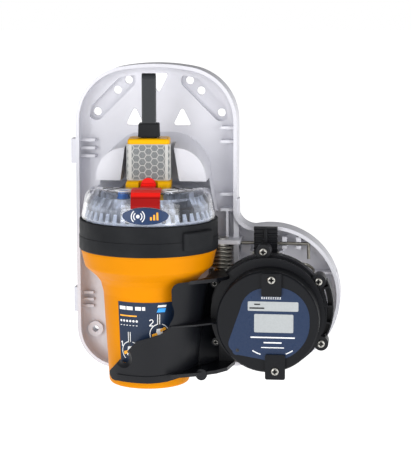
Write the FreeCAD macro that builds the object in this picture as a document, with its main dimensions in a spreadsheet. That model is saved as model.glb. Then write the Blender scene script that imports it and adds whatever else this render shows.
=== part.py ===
import FreeCAD, Part
import math
import os
import Sketcher

# Emergency position beacon held in the open back half of its float-free housing.
# Millimetres. X to the right, Z up, the wall plane is Y = 0 and the front looks along -Y.

doc = FreeCAD.newDocument("emergency_beacon")

# ------------------------------------------------------------------ driving dimensions
SIZES = [
    # beacon, measured from its own vertical axis and from the top of the collar
    ("beacon_gap", 70.0),
    ("beacon_turn", 5.5),
    ("collar_r", 59.0),
    ("collar_deep", 25.6),
    ("collar_split", 13.9),
    ("flange_r", 55.5),
    ("case_top_r", 57.3),
    ("shoulder_r", 54.2),
    ("shoulder_z", -40.5),
    ("waist_r", 45.0),
    ("waist_z", -48.6),
    ("neck_r", 41.0),
    ("neck_z", -53.8),
    ("grip_r", 38.7),
    ("grip_z", -63.5),
    ("foot_r", 34.2),
    ("foot_z", -141.5),
    ("case_wall", 2.6),
    ("dome_r", 56.6),
    ("dome_top", 26.5),
    ("dome_wall", 2.4),
    ("dome_shoulder_r", 52.5),
    ("dome_round", 11.0),
    ("mast_wide", 35.6),
    ("mast_deep", 26.0),
    ("mast_back", 13.0),
    ("mast_corner", 3.6),
    ("mast_top", 66.4),
    ("mast_foot_top", 31.5),
    ("tape_top", 61.9),
    ("tape_thick", 1.0),
    ("boot_wide", 18.2),
    ("boot_deep", 14.0),
    ("boot_top", 78.8),
    ("boot_gap", 1.1),
    ("knuckle_r", 4.0),
    ("knuckle_wide", 13.0),
    ("blade_wide", 12.0),
    ("blade_thick", 2.2),
    ("blade_deep", 10.0),
    ("blade_top", 120.9),
    ("cover_wide", 24.0),
    ("tongue_wide", 13.0),
    ("cover_thick", 1.8),
    ("key_r", 4.8),
    ("key_fit", 0.3),
    ("key_side", 19.0),
    ("key_front", 31.0),
    ("badge_wide", 38.0),
    ("badge_high", 13.6),
    ("badge_z", 8.6),
    # housing
    ("half_wide", 70.6),
    ("arch_top", 127.1),
    ("arch_top_r", 170.0),
    ("arch_corner_r", 48.0),
    ("lobe_x", 99.0),
    ("lobe_z", -74.5),
    ("lobe_r", 62.0),
    ("corner_r", 37.0),
    ("base_z", -142.5),
    ("rim_deep", 26.0),
    ("floor_front", 9.0),
    ("skin", 3.0),
    ("floor_blend", 7.0),
    ("mount_hole_r", 3.5),
    # release arm and water pressure release
    ("pin_x", 57.0),
    ("pin_y", -28.0),
    ("pin_r", 7.0),
    ("coil_r", 9.0),
    ("wire_r", 1.4),
    ("cradle_top_r", 49.6),
    ("cradle_foot_r", 37.8),
    ("arm_wall", 3.0),
    ("ring_x", 101.5),
    ("ring_z", -81.5),
    ("ring_r", 50.0),
    ("module_x", 103.2),
    ("module_z", -83.0),
    ("module_r", 43.0),
    ("module_front", -96.0),
]

sheet = doc.addObject("Spreadsheet::Sheet", "Sizes")
for row, (alias, value) in enumerate(SIZES, start=1):
    sheet.set("A%d" % row, str(value))
    sheet.setAlias("A%d" % row, alias)
doc.recompute()


class Size:
    """A length with its value and the sheet formula that gives it."""

    def __init__(self, value, text):
        self.value = value
        self.text = text

    def joined(self, other, sign, value):
        return Size(value, "(%s %s %s)" % (self.text, sign, as_size(other).text))

    def __add__(self, other):
        return self.joined(other, "+", self.value + as_size(other).value)

    def __sub__(self, other):
        return self.joined(other, "-", self.value - as_size(other).value)

    def __mul__(self, other):
        return self.joined(other, "*", self.value * as_size(other).value)

    def __truediv__(self, other):
        return self.joined(other, "/", self.value / as_size(other).value)

    def __rsub__(self, other):
        return as_size(other) - self

    def __neg__(self):
        return Size(-self.value, "(0 - %s)" % self.text)

    def __float__(self):
        return float(self.value)


def as_size(value):
    if isinstance(value, Size):
        return value
    return Size(float(value), "(%.4f)" % value)


class Sheet:
    """Every named length of the sheet, as g.name."""


g = Sheet()
for alias, value in SIZES:
    setattr(g, alias, Size(sheet.get(alias), "Sizes." + alias))

NODES = []
BEACON = FreeCAD.Placement(
    FreeCAD.Vector(0, -float(g.beacon_gap), 0),
    FreeCAD.Rotation(FreeCAD.Vector(0, 0, 1), float(g.beacon_turn)))
HOME = FreeCAD.Placement()


def V(x, y, z):
    return FreeCAD.Vector(float(x), float(y), float(z))


def keep(item, name, place):
    item.Label = name
    item.Placement = place
    NODES.append(item)
    return item


# ------------------------------------------------------------------ sketched bodies
def new_body(name, place):
    body = doc.addObject("PartDesign::Body", "Body_" + name)
    return keep(body, name, place)


def outline(body, role, corners, label):
    """A closed outline of straight sides, each corner held by sheet formulas."""
    sketch = body.newObject("Sketcher::SketchObject", label)
    planes = [p for p in body.Origin.OriginFeatures if p.Role == role]
    sketch.AttachmentSupport = [(planes[0], "")]
    sketch.MapMode = "FlatFace"
    corners = [(as_size(x), as_size(y)) for x, y in corners]
    count = len(corners)
    for i, (x, y) in enumerate(corners):
        nx, ny = corners[(i + 1) % count]
        start = FreeCAD.Vector(x.value, y.value, 0)
        end = FreeCAD.Vector(nx.value, ny.value, 0)
        sketch.addGeometry(Part.LineSegment(start, end), False)
    for i in range(count):
        sketch.addConstraint(Sketcher.Constraint("Coincident", i, 2, (i + 1) % count, 1))
    for i, (x, y) in enumerate(corners):
        for kind, size, axis in (("DistanceX", x, -2), ("DistanceY", y, -1)):
            if abs(size.value) < 1e-9:
                sketch.addConstraint(Sketcher.Constraint("PointOnObject", i, 1, axis))
                continue
            hold_corner(sketch, kind, size, i, 1)
    return sketch


def hold_corner(sketch, kind, size, side, end):
    """Ties one point of a sketch to the sheet by its distance from the origin."""
    if size.value > 0:
        rule = Sketcher.Constraint(kind, -1, 1, side, end, size.value)
        text = size.text
    else:
        rule = Sketcher.Constraint(kind, side, end, -1, 1, -size.value)
        text = (-size).text
    number = sketch.addConstraint(rule)
    sketch.setExpression("Constraints[%d]" % number, text)


def turned(name, profile, place=BEACON, angle=360.0):
    """A body of revolution about its Z axis from (radius, height) corners."""
    body = new_body(name, place)
    sketch = outline(body, "XZ_Plane", profile, name + "_profile")
    turn = body.newObject("PartDesign::Revolution", name + "_turn")
    turn.Profile = sketch
    turn.ReferenceAxis = (sketch, ["V_Axis"])
    turn.Angle = angle
    turn.Midplane = angle < 360.0
    body.Tip = turn
    return body


def padded(name, role, corners, length, place=HOME, shift=0.0):
    """A body padded both ways or one way from an outline on an origin plane."""
    body = new_body(name, place)
    sketch = outline(body, role, corners, name + "_outline")
    sketch.AttachmentOffset = FreeCAD.Placement(V(0, 0, shift), FreeCAD.Rotation())
    pad = body.newObject("PartDesign::Pad", name + "_pad")
    pad.Profile = sketch
    pad.Midplane = True
    pad.setExpression("Length", as_size(length).text)
    body.Tip = pad
    return body


def round_edges(body, radius, wanted):
    """Rounds every edge of the body's tip for which wanted(edge) holds."""
    doc.recompute()
    tip = body.Tip
    names = ["Edge%d" % (i + 1) for i, edge in enumerate(tip.Shape.Edges) if wanted(edge)]
    fillet = body.newObject("PartDesign::Fillet", body.Name + "_round")
    fillet.Base = (tip, names)
    fillet.setExpression("Radius", as_size(radius).text)
    body.Tip = fillet
    return body


def upright(edge):
    if not isinstance(edge.Curve, Part.Line):
        return False
    return abs(edge.Curve.Direction.z) > 0.99


def at_height(z):
    def test(edge):
        box = edge.BoundBox
        return abs(box.ZMin - float(z)) < 0.01 and abs(box.ZMax - float(z)) < 0.01
    return test


def circle_at(radius, z):
    def test(edge):
        if not isinstance(edge.Curve, Part.Circle):
            return False
        flat = abs(edge.BoundBox.ZMax - edge.BoundBox.ZMin) < 0.01
        same = abs(edge.Curve.Radius - float(radius)) < 0.01
        return flat and same and abs(edge.BoundBox.ZMin - float(z)) < 0.01
    return test


# ------------------------------------------------------------------ shapes built directly
def shaped(name, shape, place=HOME):
    """A sub-part whose form needs lofts or cuts a sketched body does not give."""
    item = doc.addObject("Part::Feature", "Form_" + name)
    item.Shape = shape
    return keep(item, name, place)


def block(x0, x1, y0, y1, z0, z1):
    low = V(min(x0, x1), min(y0, y1), min(z0, z1))
    return Part.makeBox(abs(x1 - x0), abs(y1 - y0), abs(z1 - z0), low)


def rod(radius, start, end):
    along = end - start
    return Part.makeCylinder(radius, along.Length, start, along)


def soft_block(x0, x1, y0, y1, z0, z1, radius, edges=upright):
    shape = block(x0, x1, y0, y1, z0, z1)
    return shape.makeFillet(radius, [e for e in shape.Edges if edges(e)])


def front_wire(points, y):
    """A closed wire in the plane Y = y. A three number entry bends the side it ends through."""
    edges = []
    count = len(points)
    for i in range(count):
        start = V(points[i][0], y, points[i][1])
        nxt = points[(i + 1) % count]
        end = V(nxt[0], y, nxt[1])
        if len(nxt) == 4:
            edges.append(Part.Arc(start, V(nxt[2], y, nxt[3]), end).toShape())
        else:
            edges.append(Part.makeLine(start, end))
    return Part.Wire(edges)


def front_prism(wire, depth):
    return Part.Face(wire).extrude(V(0, -depth, 0))


def plan_prism(points, z0, z1):
    corners = [V(x, y, z0) for x, y in points]
    face = Part.Face(Part.makePolygon(corners + [corners[0]]))
    return face.extrude(V(0, 0, z1 - z0))


def spun(points, centre, direction, angle=360.0):
    """(radius, distance along the axis) corners spun about an axis through centre."""
    spin = FreeCAD.Rotation(V(0, 0, 1), direction)
    corners = [V(r, 0, z) for r, z in points]
    face = Part.Face(Part.makePolygon(corners + [corners[0]]))
    solid = face.revolve(V(0, 0, 0), V(0, 0, 1), angle)
    return solid.transformed(FreeCAD.Placement(centre, spin).toMatrix(), True)


def joined(shapes):
    first = shapes[0]
    return first.fuse(shapes[1:]).removeSplitter()


# ------------------------------------------------------------------ beacon case and collar
def case_radius(z):
    """Outside radius of the tapered grip at height z."""
    part = (g.grip_z - z) / (g.grip_z - g.foot_z)
    return g.grip_r - (g.grip_r - g.foot_r) * part


def make_lower_case():
    wall = g.case_wall
    ledge = -g.collar_deep
    rim_top = -12.0
    body = turned("lower_case", [
        (0, g.foot_z), (g.foot_r, g.foot_z), (g.grip_r, g.grip_z), (g.neck_r, g.neck_z),
        (g.waist_r, g.waist_z), (g.shoulder_r, g.shoulder_z),
        (g.case_top_r, ledge - 2.0), (g.case_top_r, ledge),
        (g.flange_r, ledge), (g.flange_r, rim_top), (g.flange_r - wall, rim_top),
        (g.flange_r - wall, ledge - 2.0), (g.shoulder_r - wall, g.shoulder_z + 2.0),
        (g.waist_r - wall, g.waist_z + 2.0), (g.neck_r - wall, g.neck_z + 1.0),
        (g.grip_r - wall, g.grip_z),
        (g.foot_r - wall, g.foot_z + wall), (0, g.foot_z + wall)])
    round_edges(body, 4.5, circle_at(g.shoulder_r, g.shoulder_z))
    round_edges(body, 3.0, circle_at(g.foot_r, g.foot_z))
    round_edges(body, 6.0, circle_at(g.neck_r, g.neck_z))


def make_collars():
    low = -g.collar_deep
    split = -g.collar_split
    body = turned("collar_lower", [
        (g.flange_r, low), (g.collar_r, low), (g.collar_r, split - 0.1), (g.flange_r, split - 0.1)])
    round_edges(body, 1.2, circle_at(g.collar_r, low))
    body = turned("collar_upper", [
        (g.flange_r, split + 0.1), (g.collar_r - 0.3, split + 0.1), (g.collar_r - 0.3, 0),
        (g.dome_r + 0.1, 0), (g.dome_r + 0.1, -3.0), (g.dome_r + 0.7, -3.0),
        (g.dome_r + 0.7, -12.0), (g.flange_r, -12.0)])
    round_edges(body, 0.9, circle_at(g.collar_r - 0.3, 0))


def make_collar_catch():
    facing = FreeCAD.Rotation(V(0, 0, 1), -37.5 - float(g.beacon_turn))
    place = FreeCAD.Placement(BEACON.Base, BEACON.Rotation.multiply(facing))
    body = turned("collar_catch", [
        (g.collar_r, -20.5), (g.collar_r + 4.0, -20.5), (g.collar_r + 4.0, -5.5),
        (g.collar_r, -5.5)], place, 32.0)
    outer = float(g.collar_r) + 4.0
    round_edges(body, 3.0, lambda e: upright(e) and math.hypot(e.CenterOfMass.x,
                                                               e.CenterOfMass.y) > outer - 0.5)
    round_edges(body, 1.8, circle_at(outer, -5.5))


def make_dome():
    wall = g.dome_wall
    top = g.dome_top
    draft_r = g.dome_shoulder_r
    body = turned("clear_dome", [
        (0, -10.0), (g.dome_r + 0.6, -10.0), (g.dome_r + 0.6, -3.1), (g.dome_r, -3.1),
        (g.dome_r, 3.5), (draft_r, top), (0, top)])
    round_edges(body, g.dome_round, circle_at(draft_r, top))
    sketch = outline(body, "XZ_Plane", [
        (0, -11.0), (g.dome_r - wall, -11.0), (g.dome_r - wall, 3.0),
        (draft_r - 0.4, 14.0), (draft_r - 4.0, 20.6), (draft_r - 9.6, top - wall),
        (0, top - wall)], "dome_inside")
    hollow = body.newObject("PartDesign::Groove", "dome_hollow")
    hollow.Profile = sketch
    hollow.ReferenceAxis = (sketch, ["V_Axis"])
    hollow.Angle = 360.0
    body.Tip = hollow
    for name, x, y, radius in (("on", 0, -g.key_front, 6.2), ("mast", 0, g.mast_back, 12.05),
                               ("test", -g.key_side, -g.key_front, g.key_r + g.key_fit),
                               ("window", g.key_side, -g.key_front, g.key_r + 0.05)):
        hole = outline_circle(body, x, y, radius, "hole_" + name)
        cut = body.newObject("PartDesign::Pocket", "cut_" + name)
        cut.Profile = hole
        cut.Type = "ThroughAll"
        cut.Midplane = True
        body.Tip = cut


def outline_circle(body, x, y, radius, label, role="XY_Plane"):
    sketch = body.newObject("Sketcher::SketchObject", label)
    planes = [p for p in body.Origin.OriginFeatures if p.Role == role]
    sketch.AttachmentSupport = [(planes[0], "")]
    sketch.MapMode = "FlatFace"
    x = as_size(x)
    y = as_size(y)
    radius = as_size(radius)
    centre = FreeCAD.Vector(x.value, y.value, 0)
    sketch.addGeometry(Part.Circle(centre, FreeCAD.Vector(0, 0, 1), radius.value), False)
    number = sketch.addConstraint(Sketcher.Constraint("Radius", 0, radius.value))
    sketch.setExpression("Constraints[%d]" % number, radius.text)
    for kind, size, axis in (("DistanceX", x, -2), ("DistanceY", y, -1)):
        if abs(size.value) < 1e-9:
            sketch.addConstraint(Sketcher.Constraint("PointOnObject", 0, 3, axis))
        else:
            hold_corner(sketch, kind, size, 0, 3)
    return sketch


def make_seal():
    turned("dome_seal", [(g.flange_r - 2.4, -12.0), (g.flange_r + 1.2, -12.0),
                         (g.flange_r + 1.2, -10.0), (g.flange_r - 2.4, -10.0)])


# ------------------------------------------------------------------ inside the beacon
def at_mast():
    """The beacon's own axes moved back to the centre line of the mast."""
    return BEACON.multiply(FreeCAD.Placement(V(0, g.mast_back, 0), FreeCAD.Rotation()))


def make_inside():
    inner = float(g.flange_r - g.case_wall)
    turned("lamp_board", [(0, -10.0), (inner - 0.6, -10.0), (inner - 0.6, -8.4), (0, -8.4)])
    turned("main_board", [(0, -24.0), (inner, -24.0), (inner, -22.4), (0, -22.4)])
    post = rod(2.2, V(0, 0, -22.4), V(0, 0, -10.0))
    posts = [post.translated(V(40 * math.cos(a), 40 * math.sin(a), 0))
             for a in (0.6, 2.2, 3.7, 5.3)]
    shaped("board_posts", Part.makeCompound(posts), BEACON)
    turned("reflector", [(12.6, -8.4), (24.0, -8.4), (24.0, -6.0), (17.0, 16.0), (12.6, 16.0)],
           at_mast())
    lamps = [soft_block(-2.5, 2.5, 41.0, 46.0, -8.4, -5.4, 0.8) for _ in range(6)]
    for i, lamp in enumerate(lamps):
        lamp.rotate(V(0, 0, 0), V(0, 0, 1), 30.0 + 60.0 * i)
    shaped("lamps", Part.makeCompound(lamps), BEACON)
    shaped("satellite_module", soft_block(19, 37, -33, -15, -8.4, 11.0, 1.5), BEACON)
    make_light_ring()
    make_battery()


def make_light_ring():
    outer = float(g.dome_r - g.dome_wall) - 0.2
    ring = Part.makeCylinder(outer, 17.0, V(0, 0, -8.4))
    ring = ring.cut(Part.makeCylinder(outer - 2.0, 17.0, V(0, 0, -8.4)))
    notch = block(-2.0, 2.0, -outer - 1.0, -outer + 3.0, 2.0, 9.0)
    notches = []
    for i in range(44):
        tool = notch.copy()
        tool.rotate(V(0, 0, 0), V(0, 0, 1), i * 360.0 / 44)
        notches.append(tool)
    ring = ring.cut(Part.makeCompound(notches))
    ring = ring.common(spun([(0, -9.0), (outer, -9.0), (outer, 3.0), (outer - 4.0, 14.0),
                             (0, 14.0)], V(0, 0, 0), V(0, 0, 1)))
    shaped("light_ring", ring, BEACON)


def make_battery():
    floor = float(g.foot_z + g.case_wall)
    cell = rod(11.5, V(0, 0, floor + 3.0), V(0, 0, floor + 63.0))
    cells = []
    for i in range(4):
        one = cell.copy()
        one.translate(V(17.0 * math.cos(i * math.pi / 2), 17.0 * math.sin(i * math.pi / 2), 0))
        cells.append(one)
    shaped("battery_cells", Part.makeCompound(cells), BEACON)
    tray = Part.makeCylinder(31.0, 3.0, V(0, 0, floor))
    lid = Part.makeCylinder(31.0, 3.0, V(0, 0, floor + 63.0))
    stem = rod(4.0, V(0, 0, floor), V(0, 0, -24.0))
    shaped("battery_frame", joined([tray, lid, stem]), BEACON)


# ------------------------------------------------------------------ mast, aerial and cover
def make_mast():
    half = float(g.mast_wide) / 2
    deep = float(g.mast_deep) / 2
    top = float(g.mast_top)
    foot_top = float(g.mast_foot_top)
    base = float(g.dome_top)
    corner = float(g.mast_corner)
    column = soft_block(-half, half, -deep, deep, base, top, corner)
    column = column.makeFillet(2.2, [e for e in column.Edges if at_height(top)(e)])
    foot = soft_block(-half - 1.4, half + 1.4, -deep - 9.0, deep + 2.0, base, foot_top, 4.0)
    foot = foot.makeFillet(3.0, [e for e in foot.Edges if at_height(foot_top)(e)])
    gap = block(-8.2, 8.2, -deep - 12.0, -deep - 1.0, base - 1.0, foot_top + 1.0)
    spigot = Part.makeCylinder(12.0, base + 8.4, V(0, 0, -8.4))
    reach = float(g.knuckle_wide) / 2 + 0.1
    socket = rod(float(g.knuckle_r) + 0.05, V(-reach, 0, top), V(reach, 0, top))
    mast = joined([column, foot.cut(gap), spigot]).cut(socket)
    shaped("mast", mast, at_mast())
    wrap = float(g.tape_thick)
    tape = soft_block(-half - wrap, half + wrap, -deep - wrap, deep + wrap,
                      foot_top, float(g.tape_top), corner + wrap)
    shaped("reflective_tape", tape.cut(column), at_mast())


def make_aerial():
    low = g.mast_top + g.boot_gap
    body = padded("antenna_boot", "XZ_Plane", [
        (-g.boot_wide / 2, low), (g.boot_wide / 2, low), (g.boot_wide / 2 - 0.4, g.boot_top),
        (-g.boot_wide / 2 + 0.4, g.boot_top)], g.boot_deep, at_mast())
    round_edges(body, 1.2, lambda e: abs(e.CenterOfMass.z - float(g.boot_top)) < 0.01)
    sketch = outline_circle(body, 0, g.mast_top, g.knuckle_r, "knuckle_circle", "YZ_Plane")
    knuckle = body.newObject("PartDesign::Pad", "knuckle_pad")
    knuckle.Profile = sketch
    knuckle.Midplane = True
    knuckle.setExpression("Length", g.knuckle_wide.text)
    body.Tip = knuckle
    half = float(g.blade_wide) / 2
    deep = float(g.blade_deep) / 2
    crown = float(g.blade_top) - deep
    foot = float(g.boot_top)
    thick = float(g.blade_thick)
    outer = block(-half, half, -deep, deep, foot, crown).fuse(
        rod(deep, V(-half, 0, crown), V(half, 0, crown)))
    inner = block(-half - 1, half + 1, -deep + thick, deep - thick, foot, crown).fuse(
        rod(deep - thick, V(-half - 1, 0, crown), V(half + 1, 0, crown)))
    shape = outer.cut(inner).removeSplitter()
    shape = shape.makeFillet(0.7, [e for e in shape.Edges
                                   if abs(abs(e.CenterOfMass.x) - half) < 0.01])
    shape.translate(V(1.6, 0, 0))
    shaped("antenna_blade", shape, at_mast())


def make_cover():
    """Red lifting cover: a tongue up the mast, a shoulder over the dome and a front face."""
    half = float(g.cover_wide) / 2
    thick = float(g.cover_thick)
    front = float(g.mast_back) - float(g.mast_deep) / 2 - float(g.tape_thick) - 0.6
    top = float(g.dome_top)
    crown = top + 7.3
    side = [(front, crown), (front - thick, crown), (front - thick - 0.6, top + 3.0),
            (front - thick - 3.0, top + 2.3), (-43.3, top + 2.3), (-49.7, top + 0.8),
            (-54.4, top - 3.4), (-56.6, top - 9.1), (-57.2, 13.4), (-55.5, 13.0),
            (-54.9, top - 9.4), (-52.9, top - 4.3), (-48.8, top - 0.6), (-43.3, top + 0.7),
            (front, top + 0.7)]
    corners = [V(-half, y, z) for y, z in side]
    plate = Part.Face(Part.makePolygon(corners + [corners[0]])).extrude(V(2 * half, 0, 0))
    tongue = float(g.tongue_wide) / 2
    slim = block(-tongue, tongue, -31.0, front + 1.0, top - 1.0, crown - tongue)
    round_top = rod(tongue, V(0, front - 4.0, crown - tongue), V(0, front + 1.0, crown - tongue))
    waist = -29.0
    blade = plate.common(slim.fuse(round_top).removeSplitter())
    apron = plate.common(block(-half, half, -60.0, waist, 0, 40.0))
    badge_room = front_oval(float(g.badge_wide) + 1.6, float(g.badge_high) + 1.6)
    cover = joined([blade, apron]).cut(badge_room)
    shaped("activation_cover", cover, BEACON)


def make_keys():
    top = float(g.dome_top)
    spot = -float(g.key_front)
    for name, x, radius in (("on_key", 0.0, 5.9), ("test_key", -float(g.key_side), g.key_r)):
        radius = float(radius)
        stem = rod(radius, V(x, spot, top - 6.0), V(x, spot, top + 0.2))
        stem = stem.makeFillet(0.6, [e for e in stem.Edges if at_height(top + 0.2)(e)])
        foot = rod(radius + 0.6, V(x, spot, top - 6.0), V(x, spot, top - 5.2))
        shaped(name, joined([stem, foot]), BEACON)
    side = float(g.key_side)
    lens = rod(float(g.key_r) + 0.05, V(side, spot, top - 2.4), V(side, spot, top + 0.3))
    shaped("status_window", lens, BEACON)


# ------------------------------------------------------------------ badge and labels
def front_oval(wide, high):
    """An oval prism reaching forwards through the front of the dome."""
    oval = Part.Ellipse(V(0, 0, 0), wide / 2, high / 2).toShape()
    prism = Part.Face(Part.Wire([oval])).extrude(V(0, 0, 30.0))
    prism.rotate(V(0, 0, 0), V(1, 0, 0), 90.0)
    prism.translate(V(0, -35.0, float(g.badge_z)))
    return prism


def make_labels():
    high = float(g.badge_high)
    wide = float(g.badge_wide)
    wide_r = float(g.dome_r)
    slope = (wide_r - float(g.dome_shoulder_r)) / (float(g.dome_top) - 3.5)
    high_r = wide_r - slope * (19.0 - 3.5)
    skin = spun([(wide_r, -3.0), (wide_r + 1.0, -3.0), (wide_r + 1.0, 3.5),
                 (high_r + 1.0, 19.0), (high_r, 19.0), (wide_r, 3.5)], V(0, 0, 0), V(0, 0, 1))
    badge = skin.common(front_oval(wide, high))
    shaped("badge", badge, BEACON)
    top = g.grip_z - 3.0
    low = g.grip_z - 55.5
    place = FreeCAD.Placement(BEACON.Base, BEACON.Rotation.multiply(
        FreeCAD.Rotation(V(0, 0, 1), -90.0)))
    turned("front_label", [
        (case_radius(low), low), (case_radius(low) + 0.3, low),
        (case_radius(top) + 0.3, top), (case_radius(top), top)], place, 78.0)


# ------------------------------------------------------------------ housing
def housing_points():
    w = float(g.half_wide)
    top = float(g.arch_top)
    top_r = float(g.arch_top_r)
    bend = float(g.arch_corner_r)
    bend_x = w - bend
    bend_z = top - top_r + math.sqrt((top_r - bend) ** 2 - bend_x ** 2)
    tilt = math.atan2(bend_x, bend_z - top + top_r)
    join_x = top_r * math.sin(tilt)
    join_z = top - top_r + top_r * math.cos(tilt)
    half_turn = (math.pi / 2 - tilt) / 2
    mid_x = bend_x + bend * math.cos(half_turn)
    mid_z = bend_z + bend * math.sin(half_turn)
    lx = float(g.lobe_x)
    lz = float(g.lobe_z)
    lr = float(g.lobe_r)
    cr = float(g.corner_r)
    low = float(g.base_z)
    neck_x = lx - 13.0
    neck_z = lz + math.sqrt(lr ** 2 - 13.0 ** 2)
    lean = cr * math.sqrt(0.5)
    return [(-w, low + cr, -w + cr - lean, low + cr - lean), (-w, bend_z),
            (-join_x, join_z, -mid_x, mid_z), (join_x, join_z, 0.0, top),
            (w, bend_z, mid_x, mid_z), (w, 3.0),
            (neck_x, neck_z, w + 4.4, -9.4),
            (lx - 6.0, lz - math.sqrt(lr ** 2 - 36.0), lx + lr, lz), (-w + cr, low)]


def pad_shape(side, radius, y0, y1):
    """The long rounded pad under one row of three mounting holes."""
    ends = [V(side * 27.0, y0, 111.6), V(side * 55.0, y0, 83.6)]
    along = (ends[1] - ends[0]).normalize()
    across = V(-along.z, 0, along.x) * radius
    deep = V(0, y1 - y0, 0)
    strip = Part.makePolygon([ends[0] + across, ends[1] + across, ends[1] - across,
                              ends[0] - across, ends[0] + across])
    bar = Part.Face(strip).extrude(deep)
    caps = [rod(radius, end, end + deep) for end in ends]
    return joined([bar] + caps)


def rounded_triangle(points, y0, y1):
    corners = [V(x, y0, z) for x, z in points]
    prism = Part.Face(Part.makePolygon(corners + [corners[0]])).extrude(V(0, y1 - y0, 0))
    sides = [e for e in prism.Edges if abs(e.BoundBox.YLength - abs(y1 - y0)) < 0.01]
    return prism.makeFillet(1.8, sides)


def hood_wire(y, half, top, bend, low, flare, inset=0.0):
    """An arch in the plane Y = y whose legs flare outwards towards the bottom."""
    r = bend - inset
    hw = half - inset
    t = top - inset
    c = math.sqrt(0.5)
    pts = [(-hw - flare, low), (-hw, t - r), (-hw + r, t, -hw + r - r * c, t - r + r * c),
           (hw - r, t), (hw, t - r, hw - r + r * c, t - r + r * c), (hw + flare, low)]
    return front_wire(pts, y)


def hood_solid(inset, back, front):
    base = hood_wire(back, 46.5, 67.4, 36.0, -4.0, 7.0, inset)
    nose = hood_wire(front, 47.0, 57.6, 25.0, 8.0, 4.0, inset)
    return Part.makeLoft([base, nose], True, True)


def dome_space(extra):
    """Room for the dome and collar behind the beacon, grown by extra."""
    axis = V(0, -float(g.beacon_gap), -60.0)
    return Part.makeCylinder(61.2 + extra, 89.5 + extra, axis)


def make_housing():
    skin = float(g.skin)
    rim = float(g.rim_deep)
    floor = float(g.floor_front)
    outer = front_wire(housing_points(), 0.0)
    inner = outer.makeOffset2D(-skin)
    shell = front_prism(outer, rim)
    lift = V(0, -floor, 0)
    shell = shell.cut(front_prism(inner, rim).translated(lift))
    foot_edges = [e for e in shell.Edges
                  if abs(e.BoundBox.YMin + floor) < 0.01 and abs(e.BoundBox.YMax + floor) < 0.01]
    shell = shell.makeFillet(float(g.floor_blend), foot_edges)
    shell = shell.cut(front_prism(inner, floor - skin))
    hood = hood_solid(0.0, -floor + skin, -58.0)
    slot_out = slot_solid(0.0)
    hood = hood.cut(dome_space(0.0)).cut(slot_out)
    hood = hood.common(block(-90, 90, -70, 0, -3.0, 80.0))
    hollow = hood_solid(skin, -floor + skin + 0.5, -58.0 + skin)
    hollow = hollow.cut(dome_space(skin)).cut(slot_solid(skin))
    hollow = hollow.common(block(-90, 90, -70, 5, 0.0, 80.0))
    pads = [pad_shape(side, 9.6, -floor, 0.0) for side in (-1, 1)]
    pads = [pad.common(front_prism(outer, rim)) for pad in pads]
    shell = joined([shell, hood] + pads)
    shell = shell.cut(hollow)
    shell = shell.cut(Part.makeCompound([pad_shape(s, 7.0, -floor - 0.01, -3.0)
                                         for s in (-1, 1)]))
    parts = [shell] + housing_details(floor)
    shell = joined(parts)
    shell = shell.cut(Part.makeCompound(housing_holes()))
    shaped("housing_back", shell)


def slot_solid(extra):
    """Tapered slot in the hood in which the mast stands."""
    low = 20.0
    wire = front_wire([(-27.5 - extra, low), (-20.5 - extra, 70.0), (18.0 + extra, 70.0),
                       (26.0 + extra, low)], -38.0 + extra)
    return front_prism(wire, 30.0 + extra)


def housing_holes():
    tools = []
    for side in (-1, 1):
        for x, z in ((27.0, 111.6), (37.0, 102.6), (55.0, 83.6)):
            tools.append(rod(float(g.mount_hole_r), V(side * x, -20, z), V(side * x, 1, z)))
        tri = [(side * 21.0, 89.0), (side * 29.3, 72.4), (side * 12.7, 72.4)]
        tools.append(rounded_triangle(tri, -20.0, 1.0))
    tools.append(rounded_triangle([(-9.0, 118.0), (9.0, 118.0), (0.0, 100.0)], -20.0, 1.0))
    tools.append(rod(2.8, V(-57.0, -20, -110.0), V(-57.0, 1, -110.0)))
    pin = float(g.pin_r) + 0.02
    tools.append(rod(pin, V(g.pin_x, g.pin_y, -68), V(g.pin_x, g.pin_y, -20)))
    tools.append(rod(1.52, V(80.0, -24.5, -36.5), V(112.0, -24.5, -36.5)))
    leg_y = float(g.pin_y) + float(g.coil_r)
    tools.append(rod(float(g.wire_r) + 0.3, V(g.pin_x, leg_y, -28.6), V(107.0, leg_y, -28.6)))
    return tools


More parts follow.
